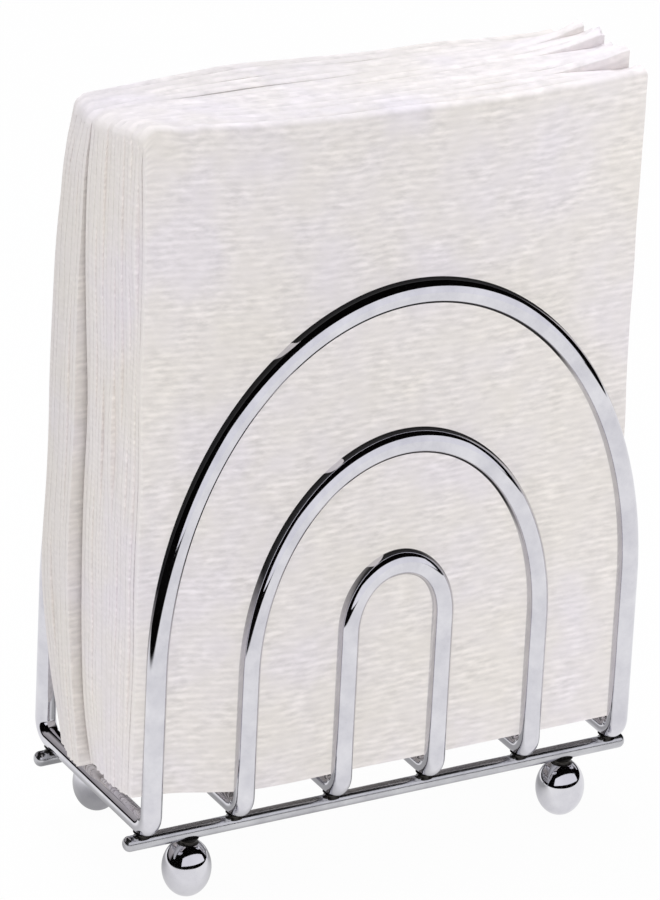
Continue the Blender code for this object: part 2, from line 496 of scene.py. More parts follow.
    def painted_light_and_shade(self, tree: bpy.types.NodeTree, place: bpy.types.NodeSocket) -> bpy.types.NodeSocket | float:
        """The painted light and shade at a place: its share of the colour at the folds plus what each fade adds.

        Args:
            tree: the material's node tree.
            place: the place in the stack.

        Returns:
            A share of the colour.
        """
        pale = self.painted_light_base
        for fade in self.painted_light_fades:
            along = add_node(
                tree, "ShaderNodeVectorMath", {"operation": "DOT_PRODUCT"}, in_0=place, in_1=fade.heading
            ).outputs["Value"]
            gain = add_node(
                tree, "ShaderNodeMapRange", {"interpolation_type": fade.fading.value}, Value=along,
                From_Min=fade.start, From_Max=fade.end, To_Max=fade.gain,
            ).outputs["Result"]
            pale = add_node(tree, "ShaderNodeMath", {"operation": "ADD"}, in_0=pale, in_1=gain).outputs["Value"]
        return pale

    def mirrored(
        self, tree: bpy.types.NodeTree, place: bpy.types.NodeSocket, facing: bpy.types.NodeSocket
    ) -> bpy.types.NodeSocket:
        """The painted reflection: how bright the wires show the paper, bright beside the legs, painted dark beside
        the arches and painted shade beneath.

        The level between the two lies higher on the right, and one slim painted glint crosses the arches' shoulders.

        Args:
            tree: the material's node tree.
            place: the place in the stack.
            facing: the upright part of the paper's normal.

        Returns:
            A share of the colour.
        """
        spot = add_node(tree, "ShaderNodeSeparateXYZ", Vector=place).outputs
        rise = add_node(
            tree, "ShaderNodeMapRange", Value=spot["X"], From_Min=self.right_side[0], From_Max=self.right_side[1],
            To_Max=-self.right_rise,
        ).outputs["Result"]
        level = add_node(tree, "ShaderNodeMath", {"operation": "ADD"}, in_0=spot["Z"], in_1=rise).outputs["Value"]
        share = add_node(
            tree, "ShaderNodeMapRange", Value=level, From_Min=self.springing[0], From_Max=self.springing[1],
            To_Min=self.painted_reflection_low, To_Max=self.painted_reflection_high,
        ).outputs["Result"]
        # A painted glint across the arches' shoulders.
        along = add_node(
            tree, "ShaderNodeVectorMath", {"operation": "DOT_PRODUCT"}, in_0=place, in_1=self.glint_way
        ).outputs["Value"]
        glint = add_node(
            tree, "ShaderNodeMath", {"operation": "COMPARE"}, in_0=along, in_1=self.glint_place, in_2=self.glint_reach
        ).outputs["Value"]
        share = add_node(tree, "ShaderNodeMath", {"operation": "MAXIMUM"}, in_0=share, in_1=glint).outputs["Value"]
        # Painted shade in the reflection, under the stack right of the folds.
        beneath = add_node(
            tree, "ShaderNodeMapRange", Value=facing, From_Min=self.underside[0], From_Max=self.underside[1],
            To_Min=1.0, To_Max=self.painted_shade_beneath,
        ).outputs["Result"]
        beneath = add_node(
            tree, "ShaderNodeMapRange", Value=spot["X"], From_Min=self.beneath_edge[0],
            From_Max=self.beneath_edge[1], To_Min=1.0, To_Max=beneath,
        ).outputs["Result"]
        return add_node(tree, "ShaderNodeMath", {"operation": "MULTIPLY"}, in_0=share, in_1=beneath).outputs["Value"]

    def make(self) -> bpy.types.Material:
        """Builds the material.

        Returns:
            The material.
        """
        material, tree, shader = new_material(self.name)
        coordinates = add_node(tree, "ShaderNodeTexCoord").outputs
        place, sheet = coordinates["Object"], coordinates["UV"]
        facing = add_node(tree, "ShaderNodeSeparateXYZ", Vector=coordinates["Normal"]).outputs
        cloud = add_node(
            tree, "ShaderNodeTexNoise", Vector=place, Scale=1 / self.cloud_size, Detail=3.0
        ).outputs["Fac"]
        tint = add_node(tree, "ShaderNodeValToRGB", Fac=cloud)
        set_stops(tint, list(zip(self.cloud_stops, (self.warm, self.plain, self.cool))))
        relief = add_node(
            tree, "ShaderNodeMapRange", Value=facing["X"], From_Min=self.fold_span[0], From_Max=self.fold_span[1],
            To_Min=self.fold_relief, To_Max=1.0,
        ).outputs["Result"]
        height = self.emboss(tree, sheet)
        fibres = add_node(
            tree, "ShaderNodeTexNoise", Vector=sheet, Scale=1 / self.fibre_size, Detail=3.0, Roughness=0.7
        ).outputs["Fac"]
        rough = add_node(
            tree, "ShaderNodeMath", {"operation": "MULTIPLY_ADD"}, in_0=fibres, in_1=self.fibre_share, in_2=height
        ).outputs["Value"]
        bump = add_node(
            tree, "ShaderNodeBump", Strength=relief, Distance=self.emboss_depth, Height=rough
        ).outputs["Normal"]
        # What the wires' first reflections show of the paper is a painted reflection: this share of its colour.
        seen = add_node(
            tree, "ShaderNodeMix", {"data_type": "FLOAT"}, in_0=first_mirror(tree), in_2=1.0,
            in_3=self.mirrored(tree, place, facing["Z"]),
        ).outputs[0]
        # Painted highlight and shade of the emboss, then times the painted light and shade and the painted
        # reflection.
        shade = self.dashes(tree, sheet, height, relief)
        for share in (self.painted_light_and_shade(tree, place), seen):
            shade = add_node(
                tree, "ShaderNodeMath", {"operation": "MULTIPLY"}, in_0=shade, in_1=share
            ).outputs["Value"]
        colour = add_node(
            tree, "ShaderNodeMix", {"data_type": "RGBA", "blend_type": "MULTIPLY"}, in_0=1.0,
            in_6=tint.outputs["Color"], in_7=shade,
        ).outputs[2]
        tree.links.new(colour, shader.inputs["Base Color"])
        tree.links.new(bump, shader.inputs["Normal"])
        shader.inputs["Roughness"].default_value = self.roughness
        shader.inputs["Specular IOR Level"].default_value = self.specular
        shader.inputs["Sheen Weight"].default_value = self.sheen
        shader.inputs["Sheen Roughness"].default_value = self.sheen_roughness
        return material


# ---------------------------------------------------------------- holder


@dataclass
class WireLoop:
    """One closed wire loop: an arch in front, two floor runs and an arch behind.

    The arch is half an ellipse on two straight legs. Each leg turns through a quarter circle into its floor
    run.
    """

    node: str
    leg_height: float  # of the ellipse's springing, above the floor runs' axes
    wire_radius: float = 3.2 * MM
    bend_radius: float = 5.5 * MM
    deepened: float = 0.25  # by this share, the wire's section is deeper than it is wide at the crown
    settled: float = 0.6  # of what it gains in depth, how much the centre line drops
    arch_steps: int = 200
    leg_steps: int = 12
    bend_steps: int = 20
    floor_steps: int = 24

    def __post_init__(self) -> None:
        """Reads the loop's reach from its node's box."""
        low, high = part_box(self.node)
        self.middle = (low.x + high.x) / 2
        self.half_width = (high.x - low.x) / 2 - self.wire_radius
        self.half_depth = (high.y - low.y) / 2 - self.wire_radius
        self.floor = low.z + self.wire_radius
        self.rise = high.z - self.wire_radius - self.floor - self.leg_height

    def half_path(self, side: int) -> tuple[Array, Array, Array]:
        """The centre line of one arch with its legs, its bends and the floor runs' halves after it.

        Args:
            side: -1 for the front half and 1 for the rear one.

        Returns:
            The path's points and, for each, a unit vector square to the path and the section's stretch.
        """
        bend = np.linspace(0, np.pi / 2, self.bend_steps, endpoint=False)
        leg = np.linspace(self.bend_radius, self.leg_height, self.leg_steps, endpoint=False)
        arch = np.linspace(0, np.pi, self.arch_steps, endpoint=False)
        down = np.linspace(self.leg_height, self.bend_radius, self.leg_steps, endpoint=False)
        run = np.linspace(self.bend_radius, self.half_depth, self.floor_steps, endpoint=False)
        # Round the half loop in turn: bend up, leg, arch, leg down, bend, floor run to the middle.
        inward = np.concatenate([
            self.bend_radius * (1 - np.sin(bend)), 0 * leg, 0 * arch, 0 * down,
            self.bend_radius * (1 - np.cos(bend)), run,
        ])
        crown = self.deepened * np.sin(arch) ** 2
        up = np.concatenate([
            self.bend_radius * (1 - np.cos(bend)), leg,
            self.leg_height + self.rise * np.sin(arch) - self.settled * crown * self.wire_radius,
            down, self.bend_radius * (1 - np.sin(bend)), 0 * run,
        ])
        across = np.concatenate([
            np.full(bend.size + leg.size, -self.half_width), -self.half_width * np.cos(arch),
            np.full(down.size + bend.size + run.size, self.half_width),
        ])
        # On the arch the square vector is the depth axis. Off it, it turns with the bend.
        turn = np.concatenate([np.pi / 2 - bend, 0 * leg, 0 * arch, 0 * down, bend, 0 * run + np.pi / 2])
        deeper = np.ones(turn.size)
        deeper[bend.size + leg.size :][: arch.size] += crown
        path = np.stack([-side * across + self.middle, side * (self.half_depth - inward), up + self.floor], axis=1)
        square = np.stack([0 * turn, -side * np.cos(turn), np.sin(turn)], axis=1)
        return path, square, deeper

    def build(self, chrome: bpy.types.Material) -> bpy.types.Object:
        """Sweeps the wire and puts it in the place of its node.

        Args:
            chrome: the finish.

        Returns:
            The new piece.
        """
        halves = [self.half_path(side) for side in (-1, 1)]
        path, square, deeper = (np.concatenate(parts) for parts in zip(*halves))
        piece = swept_wire(f"{self.node}_wire", path, square, self.wire_radius, deeper)
        wire = dress(piece, chrome, HOLDER, self.node)
        # Bounced light passes the wires: they are thin beside the soft light that wraps round them.
        wire.visible_diffuse = False
        return wire


@dataclass
class CrossBar:
    """A round bar with rounded ends, welded under all six floor runs."""

    node: str
    end_round: float = 1.9 * MM
    round_steps: int = 9
    length_steps: int = 60

    def build(self, chrome: bpy.types.Material) -> bpy.types.Object:
        """Turns the bar about its own axis: a straight side between two quarter-round shoulders.

        Args:
            chrome: the finish.

        Returns:
            The new piece.
        """
        low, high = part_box(self.node)
        radius = (high.z - low.z) / 2
        middle = (low + high) / 2
        half = (high.x - low.x) / 2
        turn = np.linspace(0, np.pi / 2, self.round_steps)
        shoulder_radius = radius - self.end_round * (1 - np.sin(turn))
        shoulder_along = half - self.end_round * (1 - np.cos(turn))
        straight = np.linspace(-1, 1, self.length_steps)[1:-1] * (half - self.end_round)
        profile = np.concatenate([
            np.stack([shoulder_radius, -shoulder_along], axis=1),
            np.stack([np.full(straight.size, radius), straight], axis=1),
            np.stack([shoulder_radius, shoulder_along], axis=1)[::-1],
        ])
        piece = turned_piece(f"{self.node}_round", Along.X, middle, profile)
        return dress(piece, chrome, HOLDER, self.node)


@dataclass
class BallFoot:
    """An egg-shaped ball with a small flat seat below and a weld land above."""

    node: str
    flat_radius: float = 1.7 * MM
    rings: int = 64
    sides: int = 96

    def build(self, chrome: bpy.types.Material) -> bpy.types.Object:
        """Turns an ellipse about the upright axis, cut off at its two small flats.

        Args:
            chrome: the finish.

        Returns:
            The new piece.
        """
        low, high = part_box(self.node)
        radius = (high.x - low.x) / 2
        half_height = (high.z - low.z) / 2
        first = math.asin(self.flat_radius / radius)
        turn = np.linspace(np.pi - first, first, self.rings)
        profile = np.stack([radius * np.sin(turn), half_height * np.cos(turn) / math.cos(first)], axis=1)
        piece = turned_piece(f"{self.node}_ball", Along.Z, (low + high) / 2, profile, self.sides)
        return dress(piece, chrome, HOLDER, self.node)


@dataclass
class Weld:
    """A small smooth neck of plated weld metal between two pieces that touch, one above the other."""

    name: str
    place: tuple[float, float, float]
    neck: float
    foot: float
    half_height: float
    rings: int = 15
    sides: int = 40

    def build(self, chrome: bpy.types.Material) -> bpy.types.Object:
        """Turns a waisted profile about the upright axis: the radius grows with the square of the height.

        Args:
            chrome: the finish.

        Returns:
            The new piece.
        """
        level = np.linspace(-1, 1, self.rings)
        profile = np.stack([self.neck + (self.foot - self.neck) * level**2, self.half_height * level], axis=1)
        piece = turned_piece(self.name, Along.Z, Vector(self.place), profile, self.sides)
        return dress(piece, chrome, HOLDER)


@dataclass
class Holder:
    """The whole chromed frame: three loops, two bars, four feet and their welds."""

    loops: tuple[WireLoop, ...] = (
        WireLoop("outer_arch_loop", leg_height=53.0 * MM),
        WireLoop("middle_arch_loop", leg_height=46.0 * MM),
        WireLoop("inner_arch_loop", leg_height=53.5 * MM),
    )
    ends: tuple[str, ...] = ("front", "rear")
    hands: tuple[str, ...] = ("left", "right")
    run_weld: tuple[float, float, float] = (1.9 * MM, 2.7 * MM, 0.85 * MM)  # neck, foot and half height
    foot_weld: tuple[float, float, float] = (2.8 * MM, 3.4 * MM, 0.9 * MM)  # the same

    def build(self) -> list[bpy.types.Object]:
        """Builds every metal piece.

        Returns:
            The new pieces.
        """
        bright, satin, weld = BRIGHT_WIRE.make(), SATIN_BAR.make(), WELD_PLATE_AND_CONTACT_SHADE.make()
        pieces = [loop.build(bright) for loop in self.loops]
        for end in self.ends:
            bar = f"{end}_cross_bar"
            pieces.append(CrossBar(bar).build(satin))
            low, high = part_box(bar)
            depth = (low.y + high.y) / 2
            for loop in self.loops:
                level = (high.z + loop.floor - loop.wire_radius) / 2
                for hand, across in zip(self.hands, (-1, 1)):
                    name = f"weld_{loop.node.split('_')[0]}_{end}_{hand}"
                    place = (loop.middle + across * loop.half_width, depth, level)
                    pieces.append(Weld(name, place, *self.run_weld).build(weld))
            for hand in self.hands:
                foot = f"foot_{end}_{hand}"
                pieces.append(BallFoot(foot).build(bright))
                foot_low, foot_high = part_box(foot)
                place = ((foot_low.x + foot_high.x) / 2, depth, (foot_high.z + low.z) / 2)
                pieces.append(Weld(f"weld_{foot}", place, *self.foot_weld).build(weld))
        return pieces


# ---------------------------------------------------------------- napkins


@dataclass(frozen=True)
class Waves:
    """Slow random waves in the paper.

    They are a sum of cosines with seeded directions, lengths and phases, of which the height is the root
    mean square.
    """

    height: float
    shortest: float  # of the waves' lengths
    longest: float
    seed: int
    count: int = 9

    def at(self, first: Array, second: Array, shift: int = 0) -> Array:
        """The waves' stray at each pair of coordinates.

        Args:
            first: one coordinate, in metres.
            second: the other coordinate, in metres.
            shift: added to the seed, for waves of a napkin's own.

        Returns:
            The stray in metres.
        """
        draw = np.random.default_rng(self.seed + shift)
        heading = draw.uniform(0, np.pi, self.count)
        length = np.exp(draw.uniform(math.log(self.shortest), math.log(self.longest), self.count))
        phase = draw.uniform(0, 2 * np.pi, self.count)
        total = np.zeros(np.broadcast(first, second).shape)
        for angle, wave, start in zip(heading, length, phase):
            total += np.cos(2 * np.pi / wave * (first * math.cos(angle) + second * math.sin(angle)) + start)
        return self.height * total * math.sqrt(2 / self.count)


@dataclass(frozen=True)
class Drift:
    """How far one edge of the stack strays from the CAD's straight one, in millimetres, at places along it.

    The places run from 0 at the low or left end to 1 at the high or right end. A front and a rear row are
    blended by a napkin's depth in its group.
    """

    places: tuple[float, ...]
    front: tuple[float, ...]
    rear: tuple[float, ...]

    def at(self, place: Array, depth: float) -> Array:
        """The stray in metres: a cubic from each place to the next, whose slopes meet at the places.

        Args:
            place: 0 to 1 along the edge.
            depth: 0 for the group's front napkin and 1 for its rear one.

        Returns:
            The stray at each place.
        """
        knots = np.array(self.places)
        values = (1 - depth) * np.array(self.front) + depth * np.array(self.rear)
        index = np.clip(np.searchsorted(knots, place, side="right") - 1, 0, len(knots) - 2)
        width = knots[index + 1] - knots[index]
        step = np.clip((place - knots[index]) / width, 0, 1)
        slopes = np.gradient(values, knots)
        square, cube = step**2, step**3
        return MM * (
            (2 * cube - 3 * square + 1) * values[index]
            + (cube - 2 * square + step) * width * slopes[index]
            + (3 * square - 2 * cube) * values[index + 1]
            + (cube - square) * width * slopes[index + 1]
        )


@dataclass(frozen=True)
class Group:
    """A run of neighbouring napkins that have settled together."""

    first: int
    last: int
    left: Drift  # sideways, of the folded edges, from the bottom up
    right: Drift  # sideways, of the loose edges, from the bottom up
    top: Drift  # up, of the top folds, from the left to the right
    bottom: Drift  # up, of the bottom edges, from the left to the right
    lean: Drift  # backwards, of the whole napkin, from the left to the right


FRONT_GROUP = Group(
    first=1,
    last=9,
    left=Drift(
        places=(0, 0.11, 0.3, 0.53, 0.68, 0.8, 0.92, 1),
        front=(0.9, 0.7, 0.5, 0.5, -0.2, -0.9, -1.9, -2.3),
        rear=(5.0, 2.0, 0.0, -0.4, -1.3, -2.6, -2.1, -1.6),
    ),
    right=Drift(places=(0, 0.3, 0.55, 1), front=(2.1, 1.5, 0.0, 0.0), rear=(1.0, 0.6, 0.0, 0.0)),
    top=Drift(
        places=(0, 0.1, 0.25, 0.5, 0.75, 0.92, 1),
        front=(5.0, 3.2, 0.0, -2.2, -3.2, -3.0, -2.6),
        rear=(-2.0, -1.7, -2.4, -3.2, -3.6, -3.4, -3.0),
    ),
    bottom=Drift(places=(0, 0.08, 0.24, 0.5, 1), front=(6.5, 5.2, 0.6, 0.0, 0.0), rear=(3.0, 1.6, 0.1, 0.0, 0.0)),
    lean=Drift(places=(0, 0.5, 1), front=(0.0, 0.0, 0.0), rear=(0.0, 0.0, 0.0)),
)
REAR_GROUP = Group(
    first=10,
    last=14,
    left=Drift(
        places=(0, 0.05, 0.11, 0.24, 0.53, 0.83, 0.94, 1),
        front=(4.8, 3.6, 2.2, 0.2, -0.7, 0.0, 0.8, 2.2),
        rear=(7.6, 6.1, 3.9, 0.4, 0.5, 1.6, 3.0, 5.5),
    ),
    right=Drift(places=(0, 0.3, 0.55, 1), front=(0.6, 0.3, 0.0, 0.0), rear=(0.0, 0.0, 0.0, 0.0)),
    top=Drift(
        places=(0, 0.18, 0.34, 0.55, 0.75, 0.9, 1),
        front=(-3.4, -2.6, -2.6, -3.4, -4.0, -4.2, -3.6),
        rear=(-4.4, -3.5, -2.4, -4.2, -5.2, -7.4, -8.6),
    ),
    bottom=Drift(places=(0, 0.1, 0.3, 0.6, 1), front=(0.3, 0.1, 0.0, 0.0, 0.0), rear=(1.8, 0.8, 0.1, 0.0, 0.0)),
    lean=Drift(places=(0, 0.1, 0.25, 0.45, 1), front=(0.0, 0.0, -0.9, -1.9, -1.9), rear=(0.0, 0.0, -0.9, -1.9, -1.9)),
)
# How far each napkin's top right corner stands above its group's line, in millimetres.
CORNERS = (0.2, -1.6, -2.9, 3.0, 1.8, 0.5, -0.7, 2.9, 1.6, 4.2, 2.3, 1.1, -0.6, 1.3)
# How far the front napkins' folded edges and top folds stand back, in millimetres: the stack's soft corner.
SIDE_STEP = {1: 1.3, 2: 0.7, 3: 0.35}
TOP_STEP = {1: 0.35, 2: 0.1}
# How square a pressed fold is, and the front edge of the front napkins' folds: 2 is round.
PRESSED = 8.0
FRONT_SQUARE = {1: 2.0, 2: 2.4, 3: 3.0}


@dataclass(frozen=True)
class Softness:
    """How a napkin strays by itself from a straight one.

    Spans and reaches without a unit are shares of the napkin's width or height. Draws are in millimetres.
    """

    folds_reach: float = 0.45  # from the left, over which the folds' stray dies out
    loose_span: tuple[float, float] = (0.7, 1.0)  # across, over which the loose edges' stray sets in
    edge_reach: float = 0.2  # from the left, over which a napkin's own folded edge strays
    edge_draw: float = 0.4
    round_span: tuple[float, float] = (0.90, 1.0)  # up, where the folded corner is rounded
    round_stop: float = 0.98  # how far round its quarter circle goes, before it gets too steep

    corner_rises: tuple[tuple[float, float], ...] = ((0.75, 0.82), (0.25, 0.95))  # its shares, and from where across
    corner_span: tuple[float, float] = (0.85, 1.0)  # up, where the loose corner stands up or sinks
    tip_draw: tuple[float, float] = (0.5, 1.5)
    tip_start: float = 0.975  # across, of the thin tip that the rearmost leaf ends in
    leaf_start: float = 0.86  # across, of the leaves' own loose edges
    offset_draw: tuple[float, float] = (-0.7, 0.5)  # of a leaf's loose edge
    slant_draw: tuple[float, float] = (-0.6, 0.6)
    drop_draw: tuple[float, float] = (-0.1, 0.9)  # of a leaf's bottom edge
    drop_reach: float = 0.07

    edge_waves: Waves = Waves(0.25 * MM, 40 * MM, 120 * MM, 900)  # of the folded edge, sideways
    top_waves: Waves = Waves(0.12 * MM, 30 * MM, 110 * MM, 1300)  # of the top, upwards
    crumple_up: Waves = Waves(0.45 * MM, 6 * MM, 13 * MM, 61)  # of the front group's folded corner
    crumple_aside: Waves = Waves(0.35 * MM, 6 * MM, 13 * MM, 62)
    crumple_span: tuple[float, float] = (0.93, 1.0)  # up
    crumple_fade: tuple[float, float] = (0.02, 0.17)  # across
    crumple_depth: float = 0.5  # of the group, up to which it is crumpled

    leaf_waves: Waves = Waves(0.2 * MM, 40 * MM, 150 * MM, 77)  # of all the leaves, backwards
    fold_span: tuple[float, float] = (2.0 * MM, 9.0 * MM)  # from a fold, where its fullness dies out
    face_waves: Waves = Waves(0.16 * MM, 16 * MM, 60 * MM, 31)  # of the open front face
    face_lift: float = 0.224 * MM  # how far that face bulges forwards
    face_edge: float = 0.05  # up, over which it sets in and ends


@dataclass
class FoldedNapkin:
    """One napkin: a single sheet folded over at its left edge, and again over its top.

    Across, the sheet is a flat hairpin: two leaves that join in a fold at the left. That hairpin is carried
    up the front, over the top in a small bend, and down the back, which gives four leaves, two folds at the
    left, one nested fold on top, and loose edges at the right and the bottom.
    """

    number: int
    group: Group
    columns: int
    rows: int
    front_square: float = PRESSED  # of the folds' front edge
    square: float = PRESSED  # of their other edges
    fold_steps: int = 8
    crowding: float = 0.55  # how much the rows and columns crowd towards the edges
    swell: float = 0.16 * MM  # how much fuller the folds are than the leaves, on each side
    leaf: float = 0.785 * MM  # one leaf of two soft plies with their emboss
    pair_gap: float = 0.12 * MM  # between the leaves of one hairpin
    core: float = 0.04 * MM  # inside radius of the top fold
    corner_round: float = 4.0 * MM
    flat_size: tuple[float, float] = (0.330, 0.432)
    leaves: int = 4
    roll: float = 0.5  # the length of paper that the napkins' patterns are cut from
    seed: int = 4100
    soft: Softness = Softness()

    def __post_init__(self) -> None:
        """Reads the napkin's place from its node's box."""
        self.node = f"napkin_{self.number:02d}"
        self.low, self.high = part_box(self.node)
        self.outer = self.leaf + self.pair_gap / 2
        self.inner = self.pair_gap / 2
        self.bend = self.core + self.outer
        members = self.group.last - self.group.first
        self.depth = (self.number - self.group.first) / members
        self.draw = np.random.default_rng(self.seed + self.number)

    def spread(self, count: int) -> Array:
        """Places from 0 to 1 that crowd towards both ends: half of one less a cosine, blended with even ones."""
        even = np.linspace(0, 1, count)
        return (1 - self.crowding) * even + self.crowding * (1 - np.cos(np.pi * even)) / 2

    @staticmethod
    def press(turn: Array, squareness: Array) -> Array:
        """How much further out than a circle a pressed fold lies at a turn: the superellipse's radius."""
        return (np.abs(np.cos(turn)) ** squareness + np.abs(np.sin(turn)) ** squareness) ** (-1 / squareness)

    def hairpin(self, outer_square: float) -> tuple[Array, Array, Array]:
        """The closed outline of the hairpin section, outer side first and then back along the inner one.

        Args:
            outer_square: how square the fold is on the napkin's outside.

        Returns:
            How far each point lies from the left end, how far it lies from the section's middle line, and
            its place across the flat sheet.
        """
        width = self.high.x - self.low.x
        reach = self.spread(self.columns) * (width - self.outer) + self.outer
        turn = np.linspace(np.pi / 2, 3 * np.pi / 2, self.fold_steps + 2)[1:-1]
        squeeze = self.press(turn, np.where(turn < np.pi, outer_square, self.square))
        sides = []
        for radius in (self.outer, self.inner):
            across = np.concatenate([reach[::-1], self.outer + radius * squeeze * np.cos(turn), reach])
            off = np.concatenate([0 * reach + radius, radius * squeeze * np.sin(turn), 0 * reach - radius])
            sheet = np.concatenate([-reach[::-1], 0 * turn, reach])
            sides.append((across, off, sheet))
        across, off, sheet = (np.concatenate([out, back[::-1]]) for out, back in zip(*sides))
        return across, off, sheet

    def climb(self) -> tuple[Array, Array, Array]:
        """The path of the hairpin's middle line, up the front, over the top and down the back.

        Returns:
            The turn of each step's normal, its level, and the length of sheet up to it from the crown. The
            turn is 0 on the front leg, and half a turn on the back one.
        """
        crown = self.high.z - self.bend - self.outer
        leg = self.low.z + self.spread(self.rows) * (crown - self.low.z)
        turn = np.linspace(0, np.pi, self.fold_steps * 2 + 2)[1:-1]
        angle = np.concatenate([0 * leg, turn, 0 * leg + np.pi])
        level = np.concatenate([leg, 0 * turn + crown, leg[::-1]])
        length = np.concatenate([leg - crown, self.bend * turn, self.bend * np.pi + crown - leg[::-1]])
        return angle, level, length

    def settle(self, across: Array, up: Array, lifted: Array) -> tuple[Array, Array]:
        """The stray that the napkin shares with its group, its folds' steps, and its rounded folded corner.

        Args:
            across: each point's share of the width.
            up: its share of the height.
            lifted: how much it moves with the top.

        Returns:
            How far each point moves sideways and upwards.
        """
        soft, group = self.soft, self.group
        near_left = 1 - ramp(across, 0.0, soft.folds_reach)
        sideways = near_left * group.left.at(up, self.depth)
        sideways += ramp(across, *soft.loose_span) * group.right.at(up, self.depth)
        own = SIDE_STEP.get(self.number, self.draw.uniform(-soft.edge_draw, soft.edge_draw))
        sideways += (1 - ramp(across, 0.0, soft.edge_reach)) * own * MM
        upwards = lifted * group.top.at(across, self.depth) + (1 - lifted) ** 2 * group.bottom.at(across, self.depth)
        upwards -= lifted * TOP_STEP.get(self.number, 0.0) * MM
        # The folded corner is rounded: a quarter circle, less its square.
        short = np.clip(1 - across * (self.high.x - self.low.x) / self.corner_round, 0, soft.round_stop)
        upwards -= ramp(up, *soft.round_span) * self.corner_round * (1 - np.sqrt(1 - short**2))
        return sideways, upwards

    def loosen(self, across: Array, up: Array, back: Array, leaf: Array) -> tuple[Array, Array]:
        """The stray of the loose corner, and of each leaf's own edges, cut and folded a little out of line.

        Args:
            across: each point's share of the width.
            up: its share of the height.
            back: its share of the napkin's depth.
            leaf: the number of its leaf, 0 to 3.

        Returns:
            How far each point moves sideways and upwards.
        """
        soft = self.soft
        corner = sum(share * ramp(across, start, 1.0) for share, start in soft.corner_rises)
        tip = self.draw.uniform(*soft.tip_draw) * ramp(across, soft.tip_start, 1.0) * back**2
        upwards = ramp(up, *soft.corner_span) * (CORNERS[self.number - 1] * corner + tip) * MM
        offset = self.draw.uniform(*soft.offset_draw, self.leaves) * MM
        slant = self.draw.uniform(*soft.slant_draw, self.leaves) * MM
        sideways = ramp(across, soft.leaf_start, 1.0) * (offset[leaf] + slant[leaf] * (up - 0.5))
        drop = self.draw.uniform(*soft.drop_draw, self.leaves) * MM
        upwards += (1 - ramp(up, 0.0, soft.drop_reach)) * drop[leaf]
        return sideways, upwards

    def ruffle(self, points: Array, across: Array, up: Array, lifted: Array) -> tuple[Array, Array]:
        """The stray of the slow waves along the edges, and of the front group's crumpled folded corner.

        Args:
            points: the straight napkin's points.
            across: each point's share of the width.
            up: its share of the height.
            lifted: how much it moves with the top.

        Returns:
            How far each point moves sideways and upwards.
        """
        soft = self.soft
        x, y, z = points.T
        sideways = soft.edge_waves.at(z, y, self.number) * (1 - ramp(across, 0.0, soft.edge_reach))
        upwards = soft.top_waves.at(x, y, self.number) * lifted
        if self.group is FRONT_GROUP:
            crumple = ramp(up, *soft.crumple_span) * (1 - ramp(across, *soft.crumple_fade))
            crumple *= max(0.0, 1 - self.depth / soft.crumple_depth)
            upwards += crumple * soft.crumple_up.at(x, z)
            sideways += crumple * soft.crumple_aside.at(x, z)
        return sideways, upwards

    def fill(self, points: Array, across: Array, up: Array, back: Array, facing: Array) -> Array:
        """How far each point moves backwards: the leaves' lean and waves, the fuller folds and the open face.

        Nothing here depends on the height, except on the open front face and at the tops, so a napkin can be
        drawn up without cutting its neighbours.

        Args:
            points: the straight napkin's points.
            across: each point's share of the width.
            up: its share of the height.
            back: its share of the napkin's depth.
            facing: -1 on the front pair and 1 on the rear one.

        Returns:
            The move of each point.
        """
        soft = self.soft
        x, _, z = points.T
        backwards = self.group.lean.at(across, self.depth) + soft.leaf_waves.at(x, 0 * x)
        # The folds are fuller than the leaves, so that neighbours meet there.
        full = 1 - np.minimum(ramp(x - self.low.x, *soft.fold_span), ramp(self.high.z - z, *soft.fold_span))
        backwards += self.swell * full * (2 * back - 1)
        if self.number == 1:
            face = (facing < 0) * ramp(up, 0.0, soft.face_edge) * (1 - ramp(up, 1 - soft.face_edge, 1.0))
            backwards -= face * (soft.face_lift + soft.face_waves.at(x, z))
        return backwards

    def stray(self, points: Array, leaf_side: Array, facing: Array) -> Array:
        """Moves the straight napkin's points to where the soft stack has settled.

        Args:
            points: the straight napkin's points.
            leaf_side: -1 on each pair's outer leaf and 1 on its inner one.
            facing: -1 on the front pair and 1 on the rear one.

        Returns:
            The moved points.
        """
        reach = np.array(self.high) - np.array(self.low)
        across, back, up = ((points - np.array(self.low)) / reach).T
        back = np.clip(back, 0, 1)
        lifted = up**2 * (3 - 2 * up)
        leaf = ((facing > 0) * 2 + (leaf_side * facing > 0)).astype(int)
        moves = [
            self.settle(across, up, lifted),
            self.loosen(across, up, back, leaf),
            self.ruffle(points, across, up, lifted),
        ]
        sideways, upwards = (sum(parts) for parts in zip(*moves))
        return points + np.stack([sideways, self.fill(points, across, up, back, facing), upwards], axis=1)

